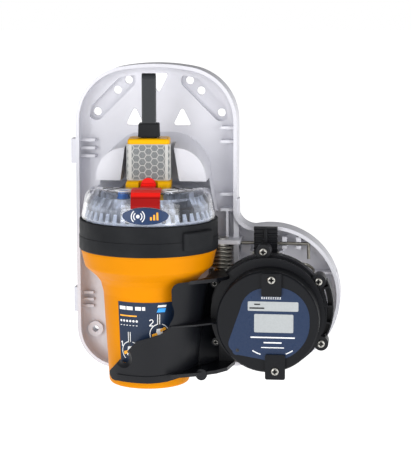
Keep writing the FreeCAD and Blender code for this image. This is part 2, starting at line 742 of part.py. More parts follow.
def housing_details(floor):
    """Ribs, ledges, hinge blocks, brackets and clips that stand on the floor."""
    w = float(g.half_wide)
    root = -floor + 2.0
    parts = []
    for z in (72.0, 60.0, 14.0, 0.5):
        parts.append(block(56.0, w - 1, root, -22.0, z - 1.2, z + 1.2))
    for z in (59.5, 52.5, 45.5):
        parts.append(soft_block(-w + 1, -55.0, root, -16.0, z - 1.3, z + 1.3, 0.8))
    parts.append(block(-w - 6.4, -w + 1, -14.0, -2.0, 38.8, 60.4))
    parts.append(block(-w - 5.0, -w + 1, -14.0, -2.0, -94.0, -72.4))
    for z in (-77.0, -83.0, -89.0):
        parts.append(soft_block(-w + 1, -58.0, root, -14.0, z - 1.2, z + 1.2, 0.8))
    parts.append(rod(6.8, V(-57.0, 0, -110.0), V(-57.0, -13.0, -110.0)))
    ledge_y = -float(g.beacon_gap) + float(g.case_top_r) + 0.3
    parts.append(block(-14.0, 14.0, root, ledge_y, -30.6, -float(g.collar_deep)))
    for z0, z1 in ((-27.2, -23.8), (-66.0, -62.0)):
        parts.append(soft_block(53.0, w + 4.0, root, -39.0, z0, z1, 3.0,
                                lambda e: upright(e) and e.CenterOfMass.y < -20))
    parts.append(block(61.0, 63.0, root, -22.0, -23.8, 0.5))
    parts.append(block(w - 3.0, w + 1.5, root, -22.0, -62.0, 10.0))
    for x in (109.6, 122.0):
        for low, high in ((-33.2, -30.2), (-26.9, -22.4)):
            parts.append(soft_block(x, x + 4.4, root, -23.5, low, high, 0.9,
                                    lambda e: e.CenterOfMass.y < -23.0))
    for x in (82.0, 108.0):
        parts.append(block(x, x + 2.6, root, -26.0, -38.5, -34.5))
    parts.append(block(74.0, 82.0, root, -16.0, -38.0, -31.0))
    parts.append(block(136.0, 157.5, root, -20.0, -55.0, -53.0))
    for x in (-40.0, 40.0):
        parts.append(block(x - 1.2, x + 1.2, -floor + 1, 0.0, -120.0, -10.0))
    parts.append(block(-60.0, 60.0, -floor + 1, 0.0, -61.2, -58.8))
    parts.append(block(-1.2, 1.2, -floor + 1, 0.0, -60.0, 0.0))
    parts.append(block(-14.0, 14.0, -floor + 1, 0.0, -5.0, 5.0))
    parts.append(rod(8.0, V(g.lobe_x, -floor + 1, g.lobe_z), V(g.lobe_x, 0, g.lobe_z)))
    return parts


# ------------------------------------------------------------------ spring and its pin
def make_spring():
    radius = float(g.pin_r)
    pin = rod(radius, V(g.pin_x, g.pin_y, -66.0), V(g.pin_x, g.pin_y, -23.0))
    shaped("spring_pin", pin)
    coil = float(g.coil_r)
    wire = float(g.wire_r)
    turns = 6
    pitch = 3.5
    low = -49.6
    helix = Part.makeHelix(pitch, pitch * turns, coil)
    ring = Part.Wire([Part.Circle(V(coil, 0, 0), V(0, 1, 0), wire).toShape()])
    body = Part.Wire(helix.Edges).makePipeShell([ring], True, True)
    body = body.mirror(V(0, 0, 0), V(0, 1, 0))
    body.rotate(V(0, 0, 0), V(0, 0, 1), 90.0)
    body.translate(V(g.pin_x, g.pin_y, low))
    top = low + pitch * turns
    leg_y = float(g.pin_y) + coil
    bend = V(133.0, leg_y, top)
    leg = rod(wire, V(g.pin_x, leg_y, top), bend)
    knee = Part.makeSphere(wire, bend)
    drop = rod(wire, bend, V(133.0, leg_y, -42.0))
    free = rod(wire, V(g.pin_x, leg_y, low), V(float(g.pin_x) - 12.0, leg_y, low))
    shaped("torsion_spring", joined([body, leg, knee, drop, free]))


# ------------------------------------------------------------------ release arm
def cradle_silhouette():
    """Front outline of the part of the arm that holds the beacon in."""
    pts = [(62.0, -45.0), (32.0, -48.6), (25.2, -55.6, 27.2, -50.6), (25.4, -67.0),
           (23.7, -82.6, 26.8, -75.0), (12.2, -93.1, 19.6, -89.4), (-4.6, -98.4),
           (-14.1, -109.0), (-27.2, -124.3), (-22.4, -134.2, -29.4, -131.0),
           (6.4, -134.8), (19.8, -133.9), (36.0, -130.6), (44.0, -128.6), (62.0, -128.6)]
    return front_prism(front_wire(pts, -20.0), 120.0)


def ridge_silhouette():
    """Front outline of the raised line that follows the cradle's lower edge."""
    pts = [(-22.0, -128.2), (-23.4, -129.4), (6.4, -129.9), (20.0, -128.9), (37.0, -125.6),
           (58.0, -123.4), (58.0, -122.2), (37.0, -124.4), (20.0, -127.7), (6.4, -128.7)]
    return front_prism(front_wire(pts, -20.0), 120.0)


def make_arm():
    wall = float(g.arm_wall)
    top_r = float(g.cradle_top_r)
    foot_r = float(g.cradle_foot_r)
    axis = V(0, -float(g.beacon_gap), 0)
    band = spun([(foot_r, -136.0), (foot_r + wall, -136.0), (top_r + wall, -44.0),
                 (top_r, -44.0)], axis, V(0, 0, 1))
    silhouette = cradle_silhouette()
    half_plane = plan_prism([(-60, -74), (46.5, -74), (60, -74), (60, -140), (-60, -140)],
                            -140.0, -40.0)
    cradle = band.common(silhouette).common(half_plane)
    ridge = spun([(foot_r + wall - 1.0, -136.0), (foot_r + wall + 0.9, -136.0),
                  (top_r + wall + 0.9, -44.0), (top_r + wall - 1.0, -44.0)], axis, V(0, 0, 1))
    ridge = ridge.common(ridge_silhouette()).common(half_plane)
    cradle = cradle.fuse(ridge).cut(Part.makeSphere(13.0, axis + V(-20.2, -48.6, -114.0)))
    shoulder = float(g.shoulder_r) + 1.6
    beacon_room = spun([(0, -137.0), (foot_r, -137.0), (top_r - 0.6, -51.5), (shoulder, -45.0),
                        (shoulder, -40.0), (0, -40.0)], axis, V(0, 0, 1))
    lid = [(24.0, -112.0), (44.0, -102.0), (60.0, -90.0), (68.0, -78.0), (72.0, -54.0),
           (56.0, -54.0), (44.0, -68.0)]
    plates = [plan_prism(lid, z0, z1) for z0, z1 in ((-51.0, -48.0), (-129.6, -126.6),
                                                     (-86.8, -85.4))]
    side = plan_prism([(41.0, -72.0), (57.0, -51.0), (72.0, -51.0), (72.0, -54.0),
                       (58.4, -54.0), (44.0, -72.0)], -129.6, -48.0)
    box = joined(plates + [side]).cut(beacon_room)
    ring = arm_ring()
    knuckle = rod(float(g.pin_r) + 3.6, V(g.pin_x, g.pin_y, -61.6), V(g.pin_x, g.pin_y, -51.6))
    strut = block(52.5, 61.5, -54.0, float(g.pin_y), -61.6, -51.6)
    lobe = rod(4.8, V(48.0, -98.0, -129.0), V(48.0, -84.0, -129.0))
    bore = rod(float(g.pin_r) + 0.06, V(g.pin_x, g.pin_y, -63), V(g.pin_x, g.pin_y, -50))
    posts = [rod(3.4, V(x, -52.0, z), V(x, BOX_SCREW_Y, z)) for x, z in BOX_SCREWS]
    arm = joined([cradle, box, ring, knuckle, strut, lobe] + posts).cut(bore)
    arm = arm.cut(beacon_room)
    module_room = rod(float(g.module_r) + 0.05, V(g.module_x, -57.0, g.module_z),
                      V(g.module_x, -100.0, g.module_z))
    arm = arm.cut(module_room)
    screw_room = [rod(1.5, V(x, -70.0, z), V(x, -58.0, z)) for x, z in RING_LUGS]
    screw_room += [rod(1.5, V(x, -80.0, z), V(x, BOX_SCREW_Y + 5.0, z)) for x, z in BOX_SCREWS]
    screw_room += [rod(3.6, V(x, -70.0, z), V(x, -66.0, z)) for x, z in RING_LUGS]
    shaped("release_arm", arm.cut(Part.makeCompound(screw_room)))


RING_LUGS = ((97.0, -28.9), (144.1, -53.4), (146.7, -106.8))
BOX_SCREWS = ((56.0, -56.5), (57.0, -107.0))
BOX_SCREW_Y = -68.0
CLIP_SPOTS = ((106.6, -46.8, 1, 5.0), (110.0, -124.2, -1, 7.2))


def arm_ring():
    """Flanged cup that carries the release module, with three lugs and a ribbed edge."""
    centre = V(g.ring_x, 0, g.ring_z)
    outer = float(g.ring_r)
    bore = float(g.module_r) - 1.5
    cup = spun([(20.0, 50.0), (outer, 50.0), (outer, 61.0), (outer - 2.0, 61.0),
                (outer - 2.0, 64.0), (outer - 1.5, 72.0), (bore - 4.0, 72.0),
                (bore - 4.0, 57.0), (20.0, 57.0)], centre, V(0, -1, 0))
    lugs = [rod(6.2, V(x, -50.0, z), V(x, -66.0, z)) for x, z in RING_LUGS]
    band = spun([(50.0, 50.0), (55.5, 50.0), (55.5, 60.0), (54.2, 60.0), (54.2, 53.0),
                 (50.0, 53.0)], V(g.ring_x, 0, float(g.ring_z) + 4.0), V(0, -1, 0))
    keep_side = block(140.0, 170.0, -70.0, -45.0, -101.0, -53.0)
    ladder = [band.common(keep_side)]
    for angle in (20.0, 2.0, -14.0):
        rib = block(48.0, 55.0, -60.0, -50.0, -0.8, 0.8)
        rib.rotate(V(0, 0, 0), V(0, 1, 0), -angle)
        rib.translate(V(g.ring_x, 0, float(g.ring_z) + 4.0))
        ladder.append(rib)
    return joined([cup] + lugs + ladder)


def screw(x, z, y, radius, head, length):
    """Pan head cross recess screw driven along +Y with the head's back at y."""
    dish = rod(radius, V(x, y, z), V(x, y - head, z))
    dish = dish.makeFillet(head * 0.6, [e for e in dish.Edges
                                        if abs(e.CenterOfMass.y - (y - head)) < 0.01])
    shank = rod(1.45, V(x, y, z), V(x, y + length, z))
    cross = block(x - radius * 0.55, x + radius * 0.55, y - head - 1, y - head + 0.8,
                  z - 0.35, z + 0.35)
    other = block(x - 0.35, x + 0.35, y - head - 1, y - head + 0.8,
                  z - radius * 0.55, z + radius * 0.55)
    return dish.fuse(shank).cut(cross.fuse(other))


def make_arm_hardware():
    shaped("ring_screws", Part.makeCompound(
        [screw(x, z, -66.0, 3.3, 1.8, 8.0) for x, z in RING_LUGS]))
    shaped("box_screws", Part.makeCompound(
        [screw(x, z, BOX_SCREW_Y, 2.2, 1.2, 5.0) for x, z in BOX_SCREWS]))
    path = Part.Wire([Part.makeLine(V(126.0, -54.0, -47.0), V(126.0, -32.0, -45.0)),
                      Part.Arc(V(126.0, -32.0, -45.0), V(131.5, -28.0, -45.6),
                               V(138.0, -31.0, -49.6)).toShape(),
                      Part.makeLine(V(138.0, -31.0, -49.6), V(139.0, -52.0, -50.6))])
    ring = Part.Wire([Part.Circle(V(126.0, -54.0, -47.0), V(0, 22.0, 2.0), 1.2).toShape()])
    loop = path.makePipeShell([ring], True, True)
    shaped("latch_loop", loop)


# ------------------------------------------------------------------ release module
def make_module():
    front = -float(g.module_front)
    outer = float(g.module_r)
    centre = V(g.module_x, 0, g.module_z)
    toward = V(0, -1, 0)
    shell = spun([(0, front - 3.0), (outer - 3.0, front - 3.0), (outer - 3.0, 60.0),
                  (outer, 60.0), (outer, front - 1.2), (outer - 1.2, front), (0, front)],
                 centre, toward)
    shaped("module_case", shell)
    base = spun([(4.05, 57.0), (outer - 0.1, 57.0), (outer - 0.1, 60.0), (4.05, 60.0)],
                centre, toward)
    shaped("module_base", base)
    shaped("module_diaphragm", spun([(4.05, 78.0), (outer - 3.0, 78.0), (outer - 3.0, 79.2),
                                     (4.05, 79.2)], centre, toward))
    piston = spun([(0, 53.0), (4.0, 53.0), (4.0, 72.0), (14.0, 72.0), (14.0, 74.0), (4.0, 74.0),
                   (4.0, 82.0), (0, 82.0)], centre, toward)
    shaped("module_piston", piston)
    coil_r = 9.0
    wire = 1.3
    helix = Part.makeHelix(3.0, 6.0, coil_r)
    ring = Part.Wire([Part.Circle(V(coil_r, 0, 0), V(0, 1, 0), wire).toShape()])
    coil = Part.Wire(helix.Edges).makePipeShell([ring], True, True)
    coil.rotate(V(0, 0, 0), V(1, 0, 0), 90.0)
    start = centre + V(0, -61.5, 0)
    coil.translate(start)
    shaped("module_spring", joined([coil, Part.makeSphere(wire, start + V(coil_r, 0, 0))]))
    make_module_front(front)


def make_module_front(front):
    cx = float(g.module_x)
    plate = front_wire([(74.0, -108.0, 70.8, -103.0), (78.6, -111.4, 75.2, -110.6),
                        (98.0, -114.6), (138.4, -82.0, 130.5, -105.0),
                        (104.0, -54.6, 130.0, -61.0), (80.6, -71.8, 88.6, -58.6),
                        (71.2, -99.0)], -front)
    label = Part.Face(plate).extrude(V(0, -0.3, 0))
    panels = [(86.8, 129.0, -73.6, -65.6), (92.2, 124.9, -91.8, -76.2)]
    windows = [soft_block(x0, x1, -front - 0.3, -front, z0, z1, 1.0,
                          lambda e: e.BoundBox.YLength > 0.25)
               for x0, x1, z0, z1 in panels]
    shaped("module_windows", Part.makeCompound(windows))
    clips = []
    screws = []
    for x, z, way, reach in CLIP_SPOTS:
        face = soft_block(x - 8.4, x + 8.4, -front - 3.0, -front - 0.3, z - way * 14.0,
                          z + way * reach, 1.6, lambda e: e.BoundBox.YLength > 2.5)
        clips.append(face)
        screws.append(screw(x, z, -front - 3.0, 3.3, 1.8, 2.6))
    clip_set = Part.makeCompound(clips)
    shaft = [rod(1.45, V(x, -front, z), V(x, -front - 3.1, z)) for x, z, way, reach in CLIP_SPOTS]
    shaped("module_clips", clip_set.cut(Part.makeCompound(shaft)))
    shaped("clip_screws", Part.makeCompound(screws))
    label = label.cut(Part.makeCompound(windows))
    label = label.cut(Part.makeCompound([rod(1.5, V(x, -front + 1, z), V(x, -front - 4, z))
                                         for x, z, way, reach in CLIP_SPOTS]))
    label = label.common(rod(float(g.module_r) - 1.4, V(cx, -front + 1, g.module_z),
                             V(cx, -front - 4, g.module_z)))
    shaped("module_label", label)


# ------------------------------------------------------------------ thumb latch
def make_latch():
    left = 86.3
    right = 106.5
    mid = (left + right) / 2
    base_y = -22.0
    plate = block(left, right, -31.0, -27.0, -34.0, -15.0)
    lip = soft_block(left, right, -34.0, -27.0, -15.0, -12.6, 0.9,
                     lambda e: e.BoundBox.XLength > 15)
    foot = block(left, right, -27.5, base_y, -39.0, -34.0)
    heel = block(left, right, -31.0, -27.0, -39.0, -34.0)
    bars = []
    for x0, x1 in ((left, mid - 1.6), (mid + 1.6, right)):
        for z in (-19.0, -23.0, -27.0, -31.0):
            bars.append(soft_block(x0, x1, -33.6, -30.9, z - 0.8, z + 0.8, 0.6,
                                   lambda e: e.BoundBox.XLength > 5))
    spine = soft_block(mid - 1.6, mid + 1.6, -34.0, -30.9, -33.6, -14.6, 0.7)
    latch = joined([plate, lip, foot, heel, spine] + bars)
    hole = rod(1.55, V(left - 1, -24.5, -36.5), V(right + 1, -24.5, -36.5))
    shaped("thumb_latch", latch.cut(hole))
    shaped("latch_pin", rod(1.5, V(82.0, -24.5, -36.5), V(110.6, -24.5, -36.5)))


make_lower_case()
make_collars()
make_collar_catch()
make_dome()
make_seal()
make_inside()
make_mast()
make_aerial()
make_cover()
make_keys()
make_labels()
make_housing()
make_spring()
make_arm()
make_arm_hardware()
make_module()
make_latch()
doc.recompute()

for item in doc.Objects:
    if "Invalid" in item.State or "Error" in item.State:
        raise RuntimeError("%s did not rebuild: %s" % (item.Label, item.State))
for item in NODES:
    if item.Shape.isNull() or not item.Shape.isValid() or item.Shape.Volume <= 0:
        raise RuntimeError("%s has no sound shape" % item.Label)

os.makedirs("parts", exist_ok=True)
for item in NODES:
    item.Shape.exportStep("parts/%s.step" % item.Label)
    box = item.Shape.BoundBox
    print("%-18s solids %d  volume %9.1f  x %6.1f %6.1f  y %6.1f %6.1f  z %6.1f %6.1f" % (
        item.Label, len(item.Shape.Solids), item.Shape.Volume,
        box.XMin, box.XMax, box.YMin, box.YMax, box.ZMin, box.ZMax))
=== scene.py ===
import math

import bmesh
import bpy
from mathutils import Matrix, Vector


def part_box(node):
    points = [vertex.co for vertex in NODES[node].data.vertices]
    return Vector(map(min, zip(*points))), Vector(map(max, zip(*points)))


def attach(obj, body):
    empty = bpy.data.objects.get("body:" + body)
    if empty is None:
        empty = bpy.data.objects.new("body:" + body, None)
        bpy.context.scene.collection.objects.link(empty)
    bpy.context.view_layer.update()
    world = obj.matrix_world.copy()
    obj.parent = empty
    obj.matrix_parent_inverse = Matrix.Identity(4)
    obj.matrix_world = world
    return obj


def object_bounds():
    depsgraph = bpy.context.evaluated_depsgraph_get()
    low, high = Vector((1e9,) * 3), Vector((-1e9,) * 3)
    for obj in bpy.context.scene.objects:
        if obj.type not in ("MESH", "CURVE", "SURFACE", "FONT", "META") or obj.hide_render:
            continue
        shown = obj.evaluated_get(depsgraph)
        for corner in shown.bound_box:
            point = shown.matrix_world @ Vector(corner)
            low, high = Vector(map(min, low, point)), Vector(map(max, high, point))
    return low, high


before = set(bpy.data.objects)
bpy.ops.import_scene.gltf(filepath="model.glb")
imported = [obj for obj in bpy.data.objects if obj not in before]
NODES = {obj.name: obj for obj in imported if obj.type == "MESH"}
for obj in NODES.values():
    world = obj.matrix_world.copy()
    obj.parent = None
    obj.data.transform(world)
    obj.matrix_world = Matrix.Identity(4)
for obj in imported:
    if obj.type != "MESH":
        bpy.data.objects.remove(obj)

CAD_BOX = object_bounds()
MM = 0.001
BEACON_TURN = math.radians(5.5)     # the beacon sits turned a little in its housing


def centre_of(node):
    low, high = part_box(node)
    return (Vector(low) + Vector(high)) / 2


# The beacon's own axes: its centre line at the height of the frame's origin.
AXIS = centre_of("collar_upper")
BEACON = Matrix.Translation((AXIS.x, AXIS.y, 0.0)) @ Matrix.Rotation(BEACON_TURN, 4, "Z")
MAST_BACK = 13.0 * MM    # the mast stands this far behind the beacon's centre line
MAST = BEACON @ Matrix.Translation((0.0, MAST_BACK, 0.0))


# ---------------------------------------------------------------- material building blocks
def map_range(tree, source, start, end, low, high):
    """The source's value, carried from start..end to low..high."""
    node = tree.nodes.new("ShaderNodeMapRange")
    node.inputs["From Min"].default_value = start
    node.inputs["From Max"].default_value = end
    node.inputs["To Min"].default_value = low
    node.inputs["To Max"].default_value = high
    tree.links.new(source, node.inputs["Value"])
    return node.outputs["Result"]


class Nodes:
    """Short calls for wiring one material."""

    def __init__(self, name):
        self.material = bpy.data.materials.new(name)
        self.material.use_nodes = True
        self.tree = self.material.node_tree
        self.shader = self.tree.nodes["Principled BSDF"]
        self.place = self.add("ShaderNodeTexCoord").outputs["Object"]

    def add(self, kind, **values):
        node = self.tree.nodes.new(kind)
        for key, value in values.items():
            setattr(node, key, value)
        return node

    def link(self, source, target):
        self.tree.links.new(source, target)

    def noise(self, scale, detail=4.0, rough=0.55, stretch=None):
        """Cloudy noise from 0 to 1, finer as the scale grows."""
        node = self.add("ShaderNodeTexNoise")
        node.inputs["Scale"].default_value = scale
        node.inputs["Detail"].default_value = detail
        node.inputs["Roughness"].default_value = rough
        place = self.place
        if stretch:
            mapping = self.add("ShaderNodeMapping")
            mapping.inputs["Scale"].default_value = stretch
            self.link(place, mapping.inputs["Vector"])
            place = mapping.outputs["Vector"]
        self.link(place, node.inputs["Vector"])
        return node.outputs["Fac"]

    def cells(self, scale):
        """Distance to the middle of the nearest of many small random cells."""
        node = self.add("ShaderNodeTexVoronoi")
        node.inputs["Scale"].default_value = scale
        self.link(self.place, node.inputs["Vector"])
        return node.outputs["Distance"]

    def span(self, source, low, high, start=0.3, end=0.7):
        return map_range(self.tree, source, start, end, low, high)

    def height(self):
        """Height in metres in the object's own frame."""
        split = self.add("ShaderNodeSeparateXYZ")
        self.link(self.place, split.inputs["Vector"])
        return split.outputs["Z"]

    def tint(self, factor, first, second):
        """A colour between first and second."""
        node = self.add("ShaderNodeMix", data_type="RGBA")
        node.inputs["A"].default_value = (*first, 1.0)
        node.inputs["B"].default_value = (*second, 1.0)
        self.link(factor, node.inputs["Factor"])
        return node.outputs["Result"]

    def tint_over(self, factor, below, second):
        """The colour below, covered by second as far as factor says."""
        node = self.add("ShaderNodeMix", data_type="RGBA")
        self.link(below, node.inputs["A"])
        node.inputs["B"].default_value = (*second, 1.0)
        self.link(factor, node.inputs["Factor"])
        return node.outputs["Result"]

    def bump(self, height, distance, strength=0.5):
        node = self.add("ShaderNodeBump")
        node.inputs["Strength"].default_value = strength
        node.inputs["Distance"].default_value = distance
        self.link(height, node.inputs["Height"])
        self.link(node.outputs["Normal"], self.shader.inputs["Normal"])

    def colour(self, source):
        self.link(source, self.shader.inputs["Base Color"])

    def rough(self, source):
        self.link(source, self.shader.inputs["Roughness"])

    def set(self, **values):
        """Plain values on the shader's sockets; an underscore stands for a space."""
        for key, value in values.items():
            self.shader.inputs[key.replace("_", " ")].default_value = value


def scaled(colour, factor):
    """The colour, lighter or darker."""
    return tuple(min(1.0, c * factor) for c in colour)


def moulded(name, colour, rough=0.4, grain=900.0, grain_depth=0.00004, wear=0.25, coat=0.0,
            gloss=0.4):
    """Injection moulded plastic: faint flow variation, fine grain and light scuffing."""
    n = Nodes(name)
    flow = n.span(n.noise(14.0), 0.0, 1.0)
    base = n.tint(flow, scaled(colour, 0.93), scaled(colour, 1.05))
    pale = tuple(c + (1.0 - c) * 0.06 for c in colour)
    n.colour(n.tint_over(n.span(n.noise(160.0, 6.0), 0.0, wear, 0.5, 0.8), base, pale))
    n.rough(n.span(n.noise(55.0, 5.0), rough - 0.06, rough + 0.08))
    n.bump(n.noise(grain, 3.0, 0.6), grain_depth, 0.35)
    n.set(Coat_Weight=coat, Specular_IOR_Level=gloss)
    return n.material


def rubbery(name, colour, rough=0.55):
    """Soft rubber: dull, finely pebbled, with a faint bloom."""
    n = Nodes(name)
    bloom = n.span(n.noise(22.0, 5.0), 0.0, 1.0, 0.35, 0.75)
    n.colour(n.tint(bloom, scaled(colour, 0.85), tuple(c + 0.012 for c in colour)))
    n.rough(n.span(n.noise(90.0, 4.0), rough - 0.08, rough + 0.1))
    n.bump(n.cells(1400.0), 0.00005, 0.3)
    n.set(Specular_IOR_Level=0.15)
    return n.material


def metal(name, colour, rough=0.28, stretch=(1.0, 1.0, 1.0)):
    """Bare metal with fine drawing lines."""
    n = Nodes(name)
    lines = n.noise(420.0, 3.0, 0.6, stretch)
    n.colour(n.tint(n.span(lines, 0.0, 1.0), scaled(colour, 0.82), scaled(colour, 1.08)))
    n.rough(n.span(n.noise(130.0), rough - 0.08, rough + 0.12))
    n.bump(lines, 0.00002, 0.3)
    n.set(Metallic=1.0)
    return n.material


def clear_plastic(name, tint, rough=0.04, bend=1.08, clear=1.0):
    """Clear moulding: little bending of light, a glossy skin and faint flow lines."""
    n = Nodes(name)
    n.colour(n.tint(n.span(n.noise(30.0), 0.0, 1.0), scaled(tint, 0.95), tint))
    n.rough(n.span(n.noise(60.0, 5.0), rough, rough + 0.05))
    n.bump(n.noise(40.0, 2.0), 0.00008, 0.15)
    n.set(Transmission_Weight=clear, IOR=bend, Coat_Weight=1.0, Coat_Roughness=0.04)
    return n.material


# Heights in metres, in the object's frame, between which painted shade and painted light change a
# colour.
LINING_SHADE = (0.004, 0.015)       # painted shade: the lamp lining comes out of the collar's shade
COVER_PAINTED_LIGHT = (0.0235, 0.0250)       # painted light: the red cover's top turns bright, as if lit from above


def silvered(name, colour, painted_glow):
    """Bright lining of the lamp space, with painted glints, painted shade and a painted glow for the
    light that the clear dome lets in.
    """
    n = Nodes(name)
    # Painted glints: light and dark streaks in the colour, standing in for reflections.
    painted_glints = n.span(n.noise(150.0, 4.0, 0.6, (1.0, 1.0, 0.45)), 0.0, 1.0, 0.42, 0.62)
    painted_glint_colour = n.tint(painted_glints, scaled(colour, 0.35), colour)
    # Painted shade: darker low down, where the collar shades the lining.
    painted_shade = n.span(n.height(), 0.8, 0.0, *LINING_SHADE)
    painted_glints_and_shade = n.tint_over(painted_shade, painted_glint_colour, scaled(colour, 0.22))
    n.colour(painted_glints_and_shade)
    n.rough(n.span(n.noise(60.0, 5.0), 0.4, 0.5))
    n.bump(n.noise(40.0, 2.0), 0.0001, 0.3)
    # Painted glow: the lining's colour shines by itself, though it is no lamp.
    n.link(painted_glints_and_shade, n.shader.inputs["Emission Color"])
    n.set(Emission_Strength=painted_glow, Coat_Weight=0.2)
    return n.material


def painted_light_red(name):
    """Translucent red moulding, deep red on its front, with painted light making its top bright."""
    n = Nodes(name)
    face = n.tint(n.span(n.noise(18.0), 0.0, 1.0), (0.24, 0.001, 0.001), (0.32, 0.002, 0.0015))
    # Painted light: higher up, the red turns bright, as if lit from above.
    n.colour(n.tint_over(n.span(n.height(), 0.0, 1.0, *COVER_PAINTED_LIGHT), face, (0.90, 0.014, 0.009)))
    n.rough(n.span(n.noise(55.0, 5.0), 0.3, 0.4))
    n.bump(n.noise(500.0, 3.0, 0.6), 0.00002, 0.3)
    n.set(Specular_IOR_Level=0.2)
    return n.material


def printed(name, colour, rough=0.3, speckle=0.03):
    """Printed film or ink: one even colour under a thin lacquer."""
    n = Nodes(name)
    fine = n.span(n.noise(700.0, 2.0), 0.0, 1.0)
    soft = tuple(min(1.0, c + speckle) for c in colour)
    n.colour(n.tint(fine, colour, soft))
    n.rough(n.span(n.noise(80.0), rough - 0.05, rough + 0.08))
    n.bump(n.noise(260.0), 0.00002, 0.2)
    n.set(Coat_Weight=0.05, Coat_Roughness=0.15, Specular_IOR_Level=0.22)
    return n.material


def prism_film(name):
    """Retroreflective film: tiny cube corners that sparkle grey."""
    n = Nodes(name)
    spark = n.cells(2600.0)
    n.colour(n.tint(n.span(spark, 0.0, 1.0, 0.1, 0.6), (0.05, 0.06, 0.065), (0.21, 0.225, 0.23)))
    n.rough(n.span(spark, 0.2, 0.45, 0.1, 0.6))
    n.bump(spark, 0.0001, 0.6)
    n.set(Metallic=0.15, Coat_Weight=0.2, Coat_Roughness=0.15)
    return n.material


# Two kinds of surface without scuffing: the black mouldings', and the coloured ones' coarser grain.
SMOOTH = {"grain_depth": 0.00002, "wear": 0.0}
COARSE = {"grain": 600.0, "grain_depth": 0.00003, "wear": 0.0}

WHITE = moulded("housing_plastic", (0.67, 0.67, 0.72), 0.42, 700.0, 0.00003, 0.1)
ORANGE = moulded("case_orange", (0.66, 0.23, 0.0), 0.42, gloss=0.06, **COARSE)
YELLOW = moulded("mast_yellow", (0.84, 0.43, 0.0), 0.35, gloss=0.12, **COARSE)
RED = painted_light_red("cover_red")
BLACK = moulded("arm_black", (0.0060, 0.0066, 0.0090), 0.36, 1600.0, gloss=0.22, **SMOOTH)
BLACK_DISC = moulded("module_black", (0.0050, 0.0056, 0.0075), 0.42, 1600.0, gloss=0.16, **SMOOTH)
RUBBER = rubbery("collar_rubber", (0.0060, 0.0070, 0.0092))
BLADE = moulded("blade_black", (0.012, 0.015, 0.019), 0.2, 500.0, coat=0.4, **SMOOTH)
STEEL = metal("stainless", (0.50, 0.49, 0.455), 0.3)
WIRE = metal("spring_wire", (0.30, 0.285, 0.25), 0.35, (1.0, 1.0, 6.0))
BRASS = metal("brass_parts", (0.70, 0.52, 0.22), 0.3)
# Its last number is the strength of the lining's painted glow.
SILVER = silvered("silvered_plastic", (0.50, 0.55, 0.66), 0.24)
CLEAR = clear_plastic("dome_clear", (0.96, 0.97, 1.0), 0.03)
CLEAR_RING = clear_plastic("ring_clear", (0.74, 0.82, 0.97), 0.25, 1.2, 0.35)
CLEAR_WINDOW = clear_plastic("window_clear", (0.85, 0.90, 1.0), 0.05)
NAVY = printed("label_navy", (0.010, 0.022, 0.052), 0.3, 0.005)
NAVY_BADGE = printed("badge_navy", (0.012, 0.034, 0.100), 0.3, 0.005)
NAVY_DISC = printed("disc_navy", (0.010, 0.025, 0.068), 0.3, 0.005)
PRINT_WHITE = printed("print_white", (0.78, 0.79, 0.80))
PRINT_ORANGE = printed("print_orange", (0.95, 0.42, 0.02))
PRINT_BLUE = printed("print_blue", (0.02, 0.32, 0.85))
PRINT_BLACK = printed("print_black", (0.012, 0.012, 0.014))
PANEL = printed("write_on_panel", (0.37, 0.39, 0.40), 0.6)
FILM_LINE = printed("film_line", (0.50, 0.50, 0.48), 0.35)
FILM = prism_film("film_cells")
BOARD = printed("board_green", (0.02, 0.11, 0.05), 0.4)
BOARD_WHITE = printed("board_white", (0.60, 0.68, 0.82), 0.4)
CELL = printed("cell_sleeve", (0.03, 0.05, 0.22), 0.35)
DARK = moulded("module_dark", (0.025, 0.03, 0.045), 0.35)
LENS = moulded("lamp_lens", (0.95, 0.75, 0.18), 0.2, grain_depth=0.00002, wear=0.1, coat=0.3)
BLUE_KEY = rubbery("key_blue", (0.04, 0.18, 0.55), 0.45)
RED_KEY = rubbery("key_red", (0.5, 0.02, 0.02), 0.45)

FINISH = {
    "housing_back": WHITE, "spring_pin": STEEL, "torsion_spring": WIRE, "latch_pin": STEEL,
    "lower_case": ORANGE, "collar_lower": RUBBER, "collar_upper": RUBBER,
    "collar_catch": RUBBER, "clear_dome": CLEAR, "dome_seal": RUBBER,
    "lamp_board": BOARD_WHITE, "main_board": BOARD, "board_posts": BRASS,
    "reflector": SILVER, "lamps": LENS, "satellite_module": DARK, "light_ring": CLEAR_RING,
    "battery_cells": CELL, "battery_frame": DARK, "mast": YELLOW,
    "reflective_tape": FILM_LINE, "status_window": CLEAR_WINDOW, "badge": NAVY_BADGE,
    "front_label": NAVY, "activation_cover": RED, "on_key": RED_KEY, "test_key": BLUE_KEY,
    "antenna_boot": RUBBER, "antenna_blade": BLADE, "release_arm": BLACK,
    "ring_screws": STEEL, "box_screws": STEEL, "latch_loop": WIRE, "module_case": BLACK_DISC,
    "module_base": BLACK_DISC, "module_diaphragm": RUBBER, "module_spring": STEEL,
    "module_windows": PANEL, "module_clips": BLACK_DISC, "clip_screws": STEEL,
    "module_label": NAVY_DISC, "module_piston": BRASS, "thumb_latch": BLACK,
}


def finish_nodes():
    """Every CAD node gets its material from FINISH."""
    for name, material in FINISH.items():
        node = NODES[name]
        for slot in node.material_slots:
            slot.material = material
        if not node.material_slots:
            node.data.materials.append(material)


# Moulding radius in mm on the sharp edges of each of these nodes.
SOFT_EDGES = {
    "housing_back": 0.5, "release_arm": 0.5, "activation_cover": 0.45, "collar_catch": 0.5,
    "module_clips": 0.5, "module_case": 0.7, "thumb_latch": 0.4, "antenna_boot": 0.5,
    "collar_upper": 0.5, "collar_lower": 0.5,
}


SHARP = math.radians(32.0)          # an edge that turns by more than this is rounded


def soften_edges():
    for name, width in SOFT_EDGES.items():
        bevel = NODES[name].modifiers.new("mould_radius", "BEVEL")
        bevel.width = width * MM
        bevel.segments = 2
        bevel.limit_method = "ANGLE"
        bevel.angle_limit = SHARP
        bevel.harden_normals = True


